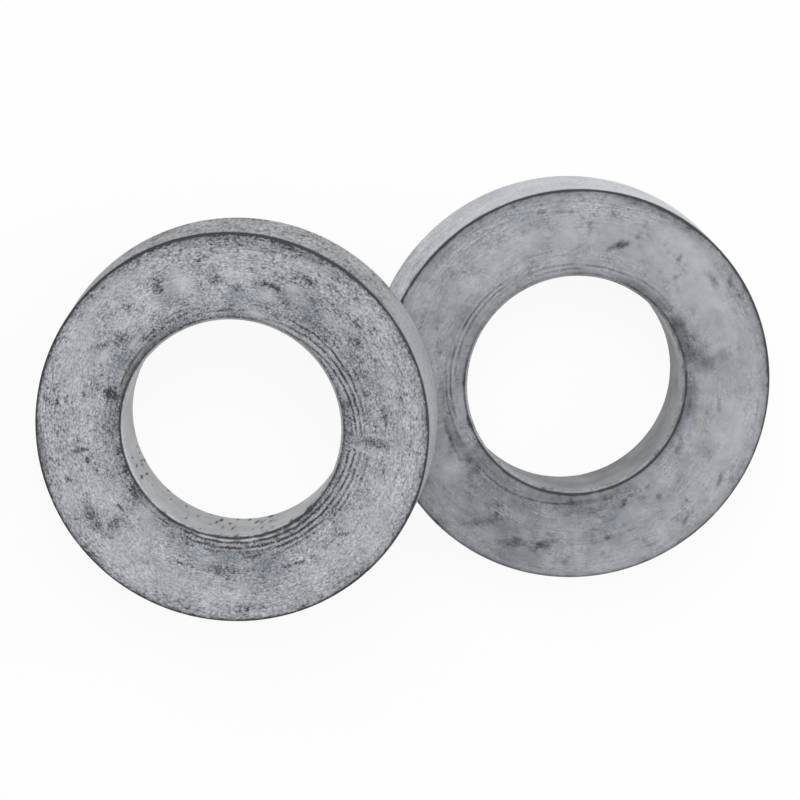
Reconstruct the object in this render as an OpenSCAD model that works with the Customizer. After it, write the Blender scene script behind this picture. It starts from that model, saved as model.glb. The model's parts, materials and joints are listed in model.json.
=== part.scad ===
// A pair of extra thick plain washers as they come to rest on a table.
// One lies flat. The other leans on it: its rim is on the table and its lower face
// rests on the flat one's upper outer edge.
// Frame: Z is up and the table is at zero, X runs along the two centres, and the
// origin is below the middle of the pair.

/* [Washer] */
// Outside diameter of each washer
washer_d = 37.3; // [34:0.1:60]
// Diameter of the bolt hole
bore_d = 20.6; // [14:0.1:25]
// Thickness of each washer
washer_t = 7.9; // [3:0.1:14]

/* [Edges] */
// Radius of the rounded outer edges
edge_r = 0.3; // [0.1:0.05:1.5]
// Leg of the chamfer at both ends of the bolt hole
bore_chamfer = 0.25; // [0.1:0.05:1]

/* [Turning grooves] */
// How many grooves the facing tool left round the bolt hole
groove_count = 4; // [1:1:7]
// Distance from one groove to the next
groove_pitch = 0.5; // [0.25:0.01:0.6]
// Width of a groove
groove_w = 0.18; // [0.05:0.01:0.2]
// Depth of a groove
groove_depth = 0.05; // [0.02:0.01:0.15]
// How much larger the first groove's radius is than the bolt hole's
groove_start = 0.1; // [0.1:0.05:2]
// How far the leaning washer's grooves run out of centre
leaning_runout = 0.84; // [0:0.02:1.5]
// Direction in which they run out, from the X axis
leaning_runout_dir = 325; // [0:5:360]
// How far the lying washer's grooves run out of centre
lying_runout = 0.78; // [0:0.02:1.5]
// Direction in which they run out, from the X axis
lying_runout_dir = 165; // [0:5:360]

/* [Resting place] */
// How far the leaning washer reaches past the edge that it rests on
lap = 5.2; // [1:0.1:7.5]
// Clearance left where the two washers touch
seat_gap = 0.02; // [0.01:0.01:0.1]

/* [Hidden] */
washer_r = washer_d / 2;
bore_r = bore_d / 2;
first_groove_r = bore_r + groove_start;
// What a cut runs past the surface that it opens
cut_past = 0.5;

// The lean, seen from the side. The low rim turns about the centre of its edge
// radius, seat_run is the way from there along the lower face to the other washer's
// edge radius, and seat_drop is the way from one centre to the other across it.
seat_run = washer_d - edge_r - lap;
seat_drop = 2 * edge_r + seat_gap;
seat_rise = washer_t - 2 * edge_r;
lean = atan2(seat_drop, seat_run) + asin(seat_rise / norm([seat_run, seat_drop]));
along = [cos(lean), 0, sin(lean)];
across = [-sin(lean), 0, cos(lean)];

// Places with the low rim's edge centre at X zero, then moved to centre the pair
rim_centre = [0, 0, edge_r];
leaning_base = rim_centre + (washer_r - edge_r) * along - edge_r * across;
edge_centre = rim_centre + seat_run * along - seat_drop * across;
lying_x = edge_centre.x + washer_r - edge_r;
left_end = rim_centre.x - seat_rise * sin(lean) - edge_r;
right_end = lying_x + washer_r;
to_middle = [-(left_end + right_end) / 2, 0, 0];

round_fn = 180;
edge_fn = 32;

// Half of the washer's section: rounded outside, square to the bore
module plain_section() {
    translate([bore_r, 0])
        square([washer_r - edge_r - bore_r, washer_t]);
    translate([bore_r, edge_r])
        square([washer_r - bore_r, washer_t - 2 * edge_r]);
    for (z = [edge_r, washer_t - edge_r])
        translate([washer_r - edge_r, z])
            circle(r = edge_r, $fn = edge_fn);
}

// Corner that the chamfer takes off the section at the bore, mouth at height zero
module chamfer_corner() {
    polygon([
        [bore_r - cut_past, -cut_past],
        [bore_r + bore_chamfer + cut_past, -cut_past],
        [bore_r - cut_past, bore_chamfer + cut_past]
    ]);
}

// The turned blank, with the middle of its lower face at the origin
module blank() {
    rotate_extrude($fn = round_fn)
        difference() {
            plain_section();
            chamfer_corner();
            translate([0, washer_t])
                mirror([0, 1])
                    chamfer_corner();
        }
}

// Ring shaped cuts in the upper face, about a centre that has run out
module grooves(runout, dir) {
    rotate([0, 0, dir])
        translate([runout, 0, washer_t - groove_depth])
            for (i = [0 : groove_count - 1])
                rotate_extrude($fn = round_fn)
                    translate([first_groove_r + i * groove_pitch - groove_w / 2, 0])
                        square([groove_w, groove_depth + cut_past]);
}

module washer(runout, dir) {
    difference() {
        blank();
        grooves(runout, dir);
    }
}

module lying_washer() {
    color("#a9aeb1")
        translate(to_middle + [lying_x, 0, 0])
            washer(lying_runout, lying_runout_dir);
}

module leaning_washer() {
    color("#959a9d")
        translate(to_middle + leaning_base)
            rotate([0, -lean, 0])
                washer(leaning_runout, leaning_runout_dir);
}

lying_washer();
leaning_washer();
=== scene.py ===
"""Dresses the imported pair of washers: a pitted ring leaning on a smoother one.

Each washer is one turned ring, built as a fine mesh from its section. The lines of the
facing tool and the pits and slow swell of the zinc coat are real relief, cut inwards
only, and the same fields drive the colours. Inside the classes lengths are millimetres
in a washer's own frame: its lower face is at height zero and its axis is Z. Meshes are
written in metres, in the part's frame.
"""

import json
import logging
import math
from dataclasses import dataclass, replace
from enum import Enum

import bpy
import numpy as np
from mathutils import Matrix, Vector

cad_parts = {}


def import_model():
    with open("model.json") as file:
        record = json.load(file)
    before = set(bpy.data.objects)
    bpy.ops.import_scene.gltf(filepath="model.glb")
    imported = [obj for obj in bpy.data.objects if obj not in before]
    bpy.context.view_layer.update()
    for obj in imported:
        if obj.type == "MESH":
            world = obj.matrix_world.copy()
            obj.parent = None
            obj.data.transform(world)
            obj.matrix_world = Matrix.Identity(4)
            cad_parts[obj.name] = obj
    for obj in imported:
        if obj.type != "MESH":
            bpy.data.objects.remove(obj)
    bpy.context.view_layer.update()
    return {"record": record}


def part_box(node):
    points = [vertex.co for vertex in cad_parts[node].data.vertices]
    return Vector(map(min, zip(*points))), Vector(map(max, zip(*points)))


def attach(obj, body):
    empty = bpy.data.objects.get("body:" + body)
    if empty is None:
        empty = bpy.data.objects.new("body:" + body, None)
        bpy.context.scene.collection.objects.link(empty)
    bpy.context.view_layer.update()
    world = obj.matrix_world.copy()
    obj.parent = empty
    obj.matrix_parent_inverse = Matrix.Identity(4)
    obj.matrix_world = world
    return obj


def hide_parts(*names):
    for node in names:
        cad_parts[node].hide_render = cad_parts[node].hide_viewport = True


LOG = logging.getLogger("washers")
MM = 0.001

# Radius of the rounded outer edges, as in the solids
EDGE_RADIUS = 0.3
# How far the dressed surface stays below the solid's, so that it fits the box
SKIN = 0.002
# Radius at which a sweep in millimetres is turned into an angle
MIDDLE_RADIUS = 14.5
# Wanted gaps between the mesh's rings on the flat upper face, where it has tool lines, on
# the chamfers, on the rim, and in the bore and on the lower face
FACE_STEP = 0.145
GROOVED_STEP = 0.09
CHAMFER_STEP = 0.18
RIM_STEP = 0.34
PLAIN_STEP = 0.62
# How far from the bore's mouth the tool lines reach
GROOVED_REACH = 2.7
# Gap between a corner and the extra ring next to it, at the bore's mouth on the upper face,
# and in the bore and on the lower face
MOUTH_GUARD = 0.03
PLAIN_GUARD = 0.05
# Direction on the upper outer edge at which the rim's finish gives way to the face's
EDGE_SPLIT = 36.0

# Noise levels at which pits begin and are full, on each surface
FACE_PIT_LEVELS = (0.15, 1.05)
RIM_PIT_LEVELS = (0.0, 0.9)
BORE_PIT_LEVELS = (0.48, 0.66)
BACK_PIT_LEVELS = (0.3, 1.1)
# Noise levels at which flecks, tool lines and the chamfer's painted highlight begin and are full
FLECK_LEVELS = (0.3, 1.2)
LINE_LEVELS = (-0.9, 0.1)
CHAMFER_LEVELS = (-0.9, 0.3)
# How pitted the face is where its finish's specks begin and are full
SPECK_LEVELS = (-1.3, 0.9)
# How strongly pits and flecks gather in clusters
PIT_GATHER = 0.25
FLECK_GATHER = 0.35
BACK_GATHER = 0.45
# Mean, swing and most of a soot mark's strength from pit to pit
MARK_MEAN = 0.85
MARK_SWING = 0.5
MARK_MOST = 1.2

# Mean depth of the coat's slow swell, and the depth of a pit away from the upper face
SWELL_DEPTH = 0.006
PLAIN_PIT_DEPTH = 0.02
# Soot with painted shade in a tool line, and soot in the pits of the rim, the bore and the lower
# face
LINE_SOOT_AND_SHADE = 0.6
RIM_PIT_SOOT = 0.5
BORE_PIT_SOOT = 0.85
BACK_PIT_SOOT = 0.4
# How pale the ridges of tool lines are, how pale the rim's side toward the lamps is painted as
# light, and how strong the painted highlight on the bore's top ring is
RIDGE_PALE = 0.9
RIM_LIT_PALE = 0.48
BORE_TOP_HIGHLIGHT = 0.7
# How far the ends of the rim's side toward the lamps sway and how softly they fade, in degrees,
# and how much rubbing takes from the pits and from the specks there
RUB_SWAY = 16.0
RUB_SOFT = 14.0
RUB_OFF_PITS = 0.3
RUB_OFF_SPECKS = 0.2
# How far below its chamfer the bore's top ring has the painted highlight, and how far inside the
# mouth the chamfer's painted highlight begins
TOP_RING = 0.02
MOUTH_LIP = 0.03
# How softly the bore's pits end, in degrees, and the shares of the height between which the
# painted shade on its wall fades
BORE_PIT_SOFT = 6.0
BORE_SHADE_FADE = (0.45, 1.0)
# Darkness of the clusters on the lower face
BACK_SHADE = 0.12

# Strength of each layer of noise next to the one before, and what brings the sum to -1 to 1
OCTAVE_GAIN = 0.55
NOISE_SPREAD = 1.7
LOW_32_BITS = 0xFFFFFFFF

# Shares of a mark's half size at which it begins to fade and is gone
MARK_CORE = 0.25
MARK_END = 1.25

# How far a tool line wavers, and how far before and past its ends it fades, in degrees
LINE_WAVER = 0.05
FADE_BEFORE = 5.0
FADE_PAST = 1.0
# Height and place of the ridges beside a tool line, by its strength and half its width, and
# their most where lines meet, next to 1 for a line
RIDGE_HEIGHT = 0.4
RIDGE_PLACE = 1.9
RIDGE_MOST = 0.6

# Place of the painted shade line round the bore, past the mouth, and half its width outwards and
# inwards
BORE_LINE_PLACE = 0.04
BORE_LINE_OUT = 0.14
BORE_LINE_IN = 0.07
# Mean and swing of that line's strength, and the swing of the shade round it
BORE_LINE_MEAN = 0.9
BORE_LINE_SWING = 0.3
BORE_SHADE_SWING = 0.2
# Angle of the side on which the line round a washer's outer edge is darkest, in degrees
EDGE_DARK_SIDE = 65.0
# Strength of the haze beside that line, and its reach on the face and on the rim, by half
# the line's width
HAZE = 0.42
HAZE_ON_FACE = 2.4
HAZE_ON_RIM = 1.1
# How far from the middle of the rounded edge the line and its haze are worked out
EDGE_REACH = 1.2
# How far that line sways, and the swings of its width and of its strength
EDGE_SWAY = 0.02
EDGE_WIDTH_SWING = 0.25
EDGE_DARK_SWING = 0.12

# Sweep and width of the patches, the mottle and the streaks of a finish
PATCH_SIZE = (5.0, 4.0)
MOTTLE_SIZE = (1.3, 1.1)
STREAK_SIZE = (2.4, 0.16)
# How much finer noise a finish's noise holds, from 0 to 1
FINE_NOISE = 0.85
# How much a finish's shade and its specks add to its roughness
SHADE_ROUGHNESS = 0.25
SPECK_ROUGHNESS = 0.15
# Strength of the fine relief, and how much the soot and painted shade level it
RELIEF_STRENGTH = 0.6
SOOT_AND_SHADE_FILL = 0.5

Colour = tuple[float, float, float]
Spot = tuple[float, float]
Span = tuple[float, float]


def smoothstep(low: float, high: float, value: np.ndarray) -> np.ndarray:
    """Rises smoothly from 0 at low to 1 at high.

    Args:
        low: Value at and below which the result is 0.
        high: Value at and above which the result is 1.
        value: The numbers to map.

    Returns:
        The mapped numbers.
    """
    share = np.clip((value - low) / (high - low), 0.0, 1.0)
    return share * share * (3.0 - 2.0 * share)


def angle_gap(angle: np.ndarray, other: float) -> np.ndarray:
    """Gives the signed gap from one angle to others.

    Args:
        angle: Angles in degrees.
        other: The angle to measure from, in degrees.

    Returns:
        The gaps, from -180 to 180 degrees.
    """
    return (angle - other + 180.0) % 360.0 - 180.0


def side(angle: np.ndarray, middle: float) -> np.ndarray:
    """Gives 1 on one side of a washer, falling to 0 on the opposite side.

    Args:
        angle: Angles in degrees.
        middle: Angle at which the result is 1, in degrees.

    Returns:
        The numbers.
    """
    return 0.5 + 0.5 * np.cos(np.radians(angle_gap(angle, middle)))


def on_edge(centre: Spot, turn: float) -> Spot:
    """Gives a place on a rounded outer edge.

    Args:
        centre: Radius and height of the edge's centre, in millimetres.
        turn: Direction of the place from that centre, in radians.

    Returns:
        Its radius and height, in millimetres.
    """
    return (
        centre[0] + EDGE_RADIUS * math.cos(turn),
        centre[1] + EDGE_RADIUS * math.sin(turn),
    )


def places(length: float, step: float, guard: float) -> list[float]:
    """Spaces rings along a run.

    Args:
        length: Length of the run, in millimetres.
        step: Wanted gap between rings, in millimetres.
        guard: Gap between a corner and an extra ring next to it, or 0 for no such ring.

    Returns:
        Places from 0 up to, and without, length.
    """
    inner = length - 2.0 * guard
    count = max(1, round(inner / step))
    even = [guard + inner * k / count for k in range(count + 1)]
    if guard:
        return [0.0, *even]
    return even[:-1]


class Region(Enum):
    """The finished surfaces of a washer, in the order of its material slots."""

    FACE = 0
    RIM = 1
    BORE = 2
    BACK = 3


class Stain(Enum):
    """What a mark does to the zinc coat.

    SOOT as a mark is soot that gathers in the pits, and DULL is an even film of the same soot. The
    field that SOOT picks also holds painted shade.
    """

    SOOT = "soot"
    DULL = "dull"
    BLUE = "blue"
    BROWN = "brown"
    PALE = "pale"
    PITTED = "pitted"

    @property
    def breakup(self) -> float:
        """How strongly noise breaks up the outline of a mark of this kind."""
        return 0.4 if self in (Stain.SOOT, Stain.PITTED) else 0.2

    @property
    def pitting(self) -> float:
        """How much a mark of this kind adds to the pits below it."""
        return {Stain.PITTED: 1.0, Stain.SOOT: 0.3, Stain.PALE: -1.3}.get(self, 0.0)


@dataclass(frozen=True)
class Grain:
    """Seeded smooth noise round a washer, from about -1 to 1.

    Attributes:
        seed: Picks one pattern.
        sweep: Size of a feature along the turn, in millimetres.
        width: Size of a feature across the turn, in millimetres.
        octaves: How many layers are added, each half the size of the last.
    """

    seed: int
    sweep: float
    width: float
    octaves: int = 1

    def at(self, angle: np.ndarray, along: np.ndarray) -> np.ndarray:
        """Reads the noise.

        Args:
            angle: Angles round the washer, in degrees.
            along: Places along the section, in millimetres.

        Returns:
            One number for each place.
        """
        turn = np.radians(angle)
        reach = MIDDLE_RADIUS / self.sweep
        total = np.zeros(len(along))
        for octave in range(self.octaves):
            finer = 2.0**octave
            spot = np.stack(
                [
                    np.cos(turn) * reach * finer,
                    np.sin(turn) * reach * finer,
                    along / self.width * finer,
                ]
            )
            total += self._layer(spot, octave) * OCTAVE_GAIN**octave
        return total * NOISE_SPREAD

    def _layer(self, spot: np.ndarray, layer: int) -> np.ndarray:
        """Reads one layer of gradient noise.

        Args:
            spot: Three rows of coordinates, in lattice steps.
            layer: Number of the octave, which picks its own pattern.

        Returns:
            One number for each place.
        """
        cell = np.floor(spot).astype(np.int64)
        within = spot - cell
        ease = within**3 * (within * (6.0 * within - 15.0) + 10.0)
        total = np.zeros(spot.shape[1])
        for corner in range(8):
            step = np.array([[corner & 1], [corner >> 1 & 1], [corner >> 2 & 1]])
            weight = np.where(step == 1, ease, 1.0 - ease).prod(axis=0)
            slope = sum(
                self._scatter(cell + step, layer * 3 + axis) * (within[axis] - step[axis])
                for axis in range(3)
            )
            total += weight * slope
        return total

    def _scatter(self, cell: np.ndarray, salt: int) -> np.ndarray:
        """Gives each lattice point a fixed number from -1 to 1.

        Args:
            cell: Three rows of whole-number coordinates.
            salt: Picks one of several numbers at the same point.

        Returns:
            One number for each lattice point.
        """
        # Large odd factors keep neighbouring points unlike each other
        mixed = cell[0] * 374761393 + cell[1] * 668265263 + cell[2] * 1440662683
        mixed = (mixed + (self.seed * 97 + salt) * 1274126177) & LOW_32_BITS
        mixed = ((mixed ^ (mixed >> 13)) * 1103515245) & LOW_32_BITS
        mixed = ((mixed ^ (mixed >> 15)) * 747796405) & LOW_32_BITS
        return (mixed ^ (mixed >> 16)) / 2147483648.0 - 1.0


@dataclass(frozen=True)
class Mark:
    """One mark on the upper face.

    Attributes:
        stain: What the mark does.
        angle: Its place round the washer, in degrees.
        radius: Its distance from the washer's axis, in millimetres.
        sweep: Half its length, in millimetres.
        width: Half its width, in millimetres.
        strength: From 0 to 1.
        turn: How far its length is turned outwards from the washer's turn, in degrees.
    """

    stain: Stain
    angle: float
    radius: float
    sweep: float
    width: float
    strength: float
    turn: float = 0.0

    def cover(self, angle: np.ndarray, radius: np.ndarray, ragged: np.ndarray) -> np.ndarray:
        """Says how strongly the mark covers each place.

        Args:
            angle: Angles in degrees.
            radius: Distances from the axis, in millimetres.
            ragged: Noise that breaks up the outline.

        Returns:
            Numbers from 0 to the mark's strength.
        """
        arc = np.radians(angle_gap(angle, self.angle)) * self.radius
        rise = radius - self.radius
        tilt = math.radians(self.turn)
        length = (arc * math.cos(tilt) + rise * math.sin(tilt)) / self.sweep
        breadth = (rise * math.cos(tilt) - arc * math.sin(tilt)) / self.width
        reach = np.hypot(length, breadth) + self.stain.breakup * ragged
        return self.strength * (1.0 - smoothstep(MARK_CORE, MARK_END, reach))


@dataclass(frozen=True)
class ToolLine:
    """One line that the facing tool left near the bore.

    Attributes:
        start: Angle at which it begins, in degrees.
        end: Angle at which it ends, in degrees, above start.
        start_radius: Radius at its beginning, in millimetres.
        end_radius: Radius at its end, in millimetres.
        strength: From 0 to 1.
        width: Half its width, in millimetres.
    """

    start: float
    end: float
    start_radius: float
    end_radius: float
    strength: float
    width: float = 0.1

    def cut(self, angle: np.ndarray, radius: np.ndarray, waver: np.ndarray) -> np.ndarray:
        """Says how strongly the line is cut at each place, and the ridges beside it.

        Args:
            angle: Angles in degrees.
            radius: Distances from the axis, in millimetres.
            waver: Noise that moves the line in and out.

        Returns:
            Up to the line's strength in the line, and below zero on its ridges.
        """
        half = (self.end - self.start) / 2.0
        gap = angle_gap(angle, self.start + half)
        share = np.clip(gap / half, -1.0, 1.0) * 0.5 + 0.5
        line = self.start_radius + share * (self.end_radius - self.start_radius)
        across = np.abs(radius - line - LINE_WAVER * waver) / self.width
        shape = np.exp(-(across**2)) - RIDGE_HEIGHT * np.exp(-((across - RIDGE_PLACE) ** 2))
        ends = 1.0 - smoothstep(half - FADE_BEFORE, half + FADE_PAST, np.abs(gap))
        return self.strength * shape * ends


@dataclass(frozen=True)
class Run:
    """Rings along one straight side or one rounded edge of the section.

    Attributes:
        start: Radius and height of its beginning, in millimetres.
        end: Radius and height of its end, where the next run begins.
        shares: Places of the rings, as shares of the run from 0.
        turns: Vertices round each ring.
        region: What the run wears.
        sheet: Radii of its beginning and end on the flat map.
        centre: Centre of the arc, if it is a rounded edge.
    """

    start: Spot
    end: Spot
    shares: tuple[float, ...]
    turns: int
    region: Region
    sheet: Span
    centre: Spot | None = None

    @classmethod
    def straight(
        cls,
        start: Spot,
        end: Spot,
        step: float,
        guard: float,
        turns: int,
        region: Region,
        sheet: Span,
    ) -> "Run":
        """Makes a straight run.

        Args:
            start: Radius and height of its beginning.
            end: Radius and height of its end.
            step: Wanted gap between rings, in millimetres.
            guard: Gap between a corner and an extra ring next to it, or 0 for no such ring.
            turns: Vertices round each ring.
            region: What the run wears.
            sheet: Radii of its beginning and end on the flat map.

        Returns:
            The run.
        """
        length = math.hypot(end[0] - start[0], end[1] - start[1])
        shares = tuple(p / length for p in places(length, step, guard))
        return cls(start, end, shares, turns, region, sheet)

    @classmethod
    def rounded(
        cls,
        centre: Spot,
        first: float,
        last: float,
        bands: int,
        turns: int,
        region: Region,
        sheet: Span,
    ) -> "Run":
        """Makes a run round an outer edge.

        Args:
            centre: Radius and height of the arc's centre.
            first: Direction of its beginning from that centre, in degrees.
            last: Direction of its end, in degrees.
            bands: Number of bands.
            turns: Vertices round each ring.
            region: What the run wears.
            sheet: Radii of its beginning and end on the flat map.

        Returns:
            The run.
        """
        start = on_edge(centre, math.radians(first))
        end = on_edge(centre, math.radians(last))
        shares = tuple(k / bands for k in range(bands))
        return cls(start, end, shares, turns, region, sheet, centre)

    def spot(self, share: float) -> Spot:
        """Gives a place on the run.

        Args:
            share: How far along the run it is, from 0 to 1.

        Returns:
            Its radius and height.
        """
        if self.centre is None:
            return tuple(a + share * (b - a) for a, b in zip(self.start, self.end, strict=True))
        first = math.atan2(self.start[1] - self.centre[1], self.start[0] - self.centre[0])
        last = math.atan2(self.end[1] - self.centre[1], self.end[0] - self.centre[0])
        return on_edge(self.centre, first + share * (last - first))


@dataclass(frozen=True)
class Section:
    """The half section of a washer, walked once round.

    Attributes:
        outer: Outside radius, in millimetres.
        bore: Radius of the bolt hole, in millimetres.
        height: Thickness, in millimetres.
        chamfer: Leg of the chamfer at both ends of the bore, in millimetres.
        fine: Vertices round each ring of the upper face.
    """

    outer: float
    bore: float
    height: float
    chamfer: float
    fine: int = 960

    @property
    def flat(self) -> float:
        """Radius at which the flat faces end."""
        return self.outer - EDGE_RADIUS

    @property
    def mouth(self) -> float:
        """Radius at which the chamfers meet the flat faces."""
        return self.bore + self.chamfer

    @property
    def edge_middle(self) -> float:
        """Way along the section to the middle of the upper outer edge."""
        # The lower edge's quarter turn and half the upper one's make 0.75 of a half turn
        return self.height - 2.0 * EDGE_RADIUS + 0.75 * math.pi * EDGE_RADIUS

    def runs(self) -> list[Run]:
        """Lists the runs of the section, from the lower outer edge upwards.

        The last pair of each run is its place on the flat map. The rim and the upper face
        fill the map's outer rings, and the bore and the lower face its middle.

        Returns:
            The runs, each of which begins where the last one ends.
        """
        coarse = self.fine // 2
        low = EDGE_RADIUS
        high = self.height - EDGE_RADIUS
        top = self.height
        grooved = self.mouth + GROOVED_REACH
        chamfer_low = self.chamfer
        chamfer_high = top - self.chamfer
        return [
            Run.rounded((self.flat, low), -90.0, 0.0, 3, coarse, Region.RIM, (0.496, 0.49)),
            Run.straight(
                (self.outer, low), (self.outer, high), RIM_STEP, 0.0, coarse, Region.RIM,
                (0.49, 0.415),
            ),
            Run.rounded(
                (self.flat, high), 0.0, EDGE_SPLIT, 2, self.fine, Region.RIM, (0.415, 0.412)
            ),
            Run.rounded(
                (self.flat, high), EDGE_SPLIT, 90.0, 3, self.fine, Region.FACE, (0.412, 0.407)
            ),
            Run.straight(
                (self.flat, top), (grooved, top), FACE_STEP, 0.0, self.fine, Region.FACE,
                (0.407, 0.29),
            ),
            Run.straight(
                (grooved, top), (self.mouth, top), GROOVED_STEP, MOUTH_GUARD, self.fine,
                Region.FACE, (0.29, 0.222),
            ),
            Run.straight(
                (self.mouth, top), (self.bore, chamfer_high), CHAMFER_STEP, 0.0, self.fine,
                Region.FACE, (0.222, 0.217),
            ),
            Run.straight(
                (self.bore, chamfer_high), (self.bore, chamfer_low), PLAIN_STEP, PLAIN_GUARD,
                coarse, Region.BORE, (0.115, 0.06),
            ),
            Run.straight(
                (self.bore, chamfer_low), (self.mouth, 0.0), CHAMFER_STEP, 0.0, coarse,
                Region.BACK, (0.122, 0.126),
            ),
            Run.straight(
                (self.mouth, 0.0), (self.flat, 0.0), PLAIN_STEP, PLAIN_GUARD, coarse,
                Region.BACK, (0.126, 0.212),
            ),
        ]


class RingMesh:
    """Vertices, faces and flat map of a ring swept from its section.

    Attributes:
        angle: Angle of each vertex, in degrees.
        radius: Distance of each vertex from the axis, in millimetres.
        level: Height of each vertex, in millimetres.
        along: Place of each vertex along the section, in millimetres.
        outward: Radius and height parts of the surface normal at each vertex.
        faces: Corner lists of the faces.
        worn: Region number of each vertex.
        region: Region number of each face.
        sheet: Flat map place of each corner.
    """

    def __init__(self, section: Section) -> None:
        """Sweeps the section.

        Args:
            section: The section to sweep.
        """
        runs = section.runs()
        rings = [(run, k) for run in runs for k in range(len(run.shares))]
        spots = np.array([run.spot(run.shares[k]) for run, k in rings])
        ahead = np.roll(spots, -1, axis=0) - spots
        behind = spots - np.roll(spots, 1, axis=0)
        gaps = np.hypot(ahead[:, 0], ahead[:, 1])
        way = ahead / gaps[:, None] + behind / np.roll(gaps, 1)[:, None]
        way /= np.hypot(way[:, 0], way[:, 1])[:, None]
        normal = np.stack([way[:, 1], -way[:, 0]], axis=1)
        along = np.concatenate([[0.0], np.cumsum(gaps)[:-1]])
        counts = np.array([run.turns for run, _ in rings])
        self._first = np.concatenate([[0], np.cumsum(counts)[:-1]])
        self._counts = counts
        self.angle = np.concatenate([np.arange(c) * 360.0 / c for c in counts])
        self.radius = np.repeat(spots[:, 0], counts)
        self.level = np.repeat(spots[:, 1], counts)
        self.along = np.repeat(along, counts)
        self.outward = np.repeat(normal, counts, axis=0)
        self.worn = np.repeat([run.region.value for run, _ in rings], counts)
        self._join(rings)

    def _join(self, rings: list[tuple[Run, int]]) -> None:
        """Makes the faces between neighbouring rings, and their flat map.

        Args:
            rings: Each ring's run and its number in the run.
        """
        self.faces: list[tuple[int, ...]] = []
        bands = []
        sheets = []
        for i, (run, k) in enumerate(rings):
            j = (i + 1) % len(rings)
            made = self._band(i, j)
            self.faces += made
            bands.append(np.full(len(made), run.region.value))
            shares = (run.shares[k], (run.shares + (1.0,))[k + 1])
            spread = [run.sheet[0] + s * (run.sheet[1] - run.sheet[0]) for s in shares]
            corners = np.array([c for face in made for c in face])
            near = (corners >= self._first[i]) & (corners < self._first[i] + self._counts[i])
            turn = np.radians(self.angle[corners])
            reach = np.where(near, spread[0], spread[1])
            sheets.append(
                np.stack([0.5 + reach * np.cos(turn), 0.5 + reach * np.sin(turn)], axis=1)
            )
        self.region = np.concatenate(bands)
        self.sheet = np.concatenate(sheets)

    def _band(self, i: int, j: int) -> list[tuple[int, ...]]:
        """Joins ring i to ring j, which may have half or twice its vertices.

        Args:
            i: Number of the first ring.
            j: Number of the ring after it.

        Returns:
            The faces, wound to look outwards.
        """
        a, b = int(self._first[i]), int(self._first[j])
        m, n = int(self._counts[i]), int(self._counts[j])
        faces: list[tuple[int, ...]] = []
        if m == n:
            return [(a + k, a + (k + 1) % m, b + (k + 1) % m, b + k) for k in range(m)]
        if n == 2 * m:
            for k in range(m):
                p, q = a + k, a + (k + 1) % m
                s, t, u = b + 2 * k, b + 2 * k + 1, b + (2 * k + 2) % n
                faces += [(p, t, s), (p, q, t), (q, u, t)]
            return faces
        for k in range(n):
            p, q = b + k, b + (k + 1) % n
            s, t, u = a + 2 * k, a + 2 * k + 1, a + (2 * k + 2) % m
            faces += [(s, t, p), (t, q, p), (t, u, q)]
        return faces


@dataclass(frozen=True)
class Coat:
    """How one washer's zinc coat has worn, and where shade and highlights are painted on it.

    Attributes:
        seed: Picks the washer's own noise.
        pit_grain: Noise that makes the face's pits, as long and wide as they are.
        pit_share: Raises or lowers how much of the face is pitted.
        pit_depth: Depth of a pit, in millimetres.
        pit_soot: Darkness of a pit.
        flecks: Darkness of the small flecks scattered over the face.
        line_depth: Depth of a tool line, in millimetres.
        edge_soot: Darkness of the line round the outer edge.
        edge_width: Half the width of that line, in millimetres.
        edge_fade: How much weaker that line is on the side where it is weakest, from 0 to 1.
        bore_soot: Darkness of the painted shade line round the bore, where its edge turns from the
            light.
        bore_fade: How much weaker that line is where it is weakest, from 0 to 1.
        bore_faint: Angle at which that line is weakest, in degrees.
        mouth_rub: Strength of the painted highlight on the chamfer at the bore's upper end.
        bore_dim: How much darker the bore's wall is painted below the middle, as painted shade.
        bore_shade: Darkness that spreads outwards from the bore.
        bore_reach: How far that darkness spreads, in millimetres.
        rim_pits: Share of the rim that is rough.
        rim_rubbed: First and last angle of the rim's side toward the lamps, which is painted paler
            as painted light and has fewer pits, in degrees.
        bore_pits: First and last angle between which the bore has small pits, in degrees.
        lines: The facing tool's lines.
        marks: The listed marks.
    """

    seed: int
    pit_grain: Grain
    pit_share: float
    pit_depth: float
    pit_soot: float
    flecks: float
    line_depth: float
    edge_soot: float
    edge_width: float
    edge_fade: float
    bore_soot: float
    bore_fade: float
    bore_faint: float
    mouth_rub: float
    bore_dim: float
    bore_shade: float
    bore_reach: float
    rim_pits: float
    rim_rubbed: Span
    bore_pits: Span
    lines: tuple[ToolLine, ...]
    marks: tuple[Mark, ...]


# Noises that wear a washer: seed counted from the coat's, sweep, width and layers
MARK_OUTLINES = Grain(1, 1.1, 0.9, 3)
LINE_DRIFT = Grain(2, 1.6, 1.2, 2)
LINE_GAPS = Grain(3, 1.3, 0.35, 2)
FACE_CLUSTERS = Grain(4, 2.2, 1.5, 3)
FACE_SWELL = Grain(6, 3.5, 1.8, 2)
FACE_FLECKS = Grain(7, 0.75, 0.6, 2)
RIM_PITS = Grain(11, 0.32, 0.9, 2)
RIM_SWELL = Grain(12, 4.0, 2.0, 2)
EDGE_OUTLINE = Grain(13, 0.5, 0.6, 2)
EDGE_SWELL = Grain(14, 7.0, 3.0)
BORE_PITS = Grain(15, 0.6, 1.6)
BACK_PITS = Grain(17, 0.7, 0.6, 3)
BACK_CLUSTERS = Grain(18, 3.6, 3.0, 2)


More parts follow.
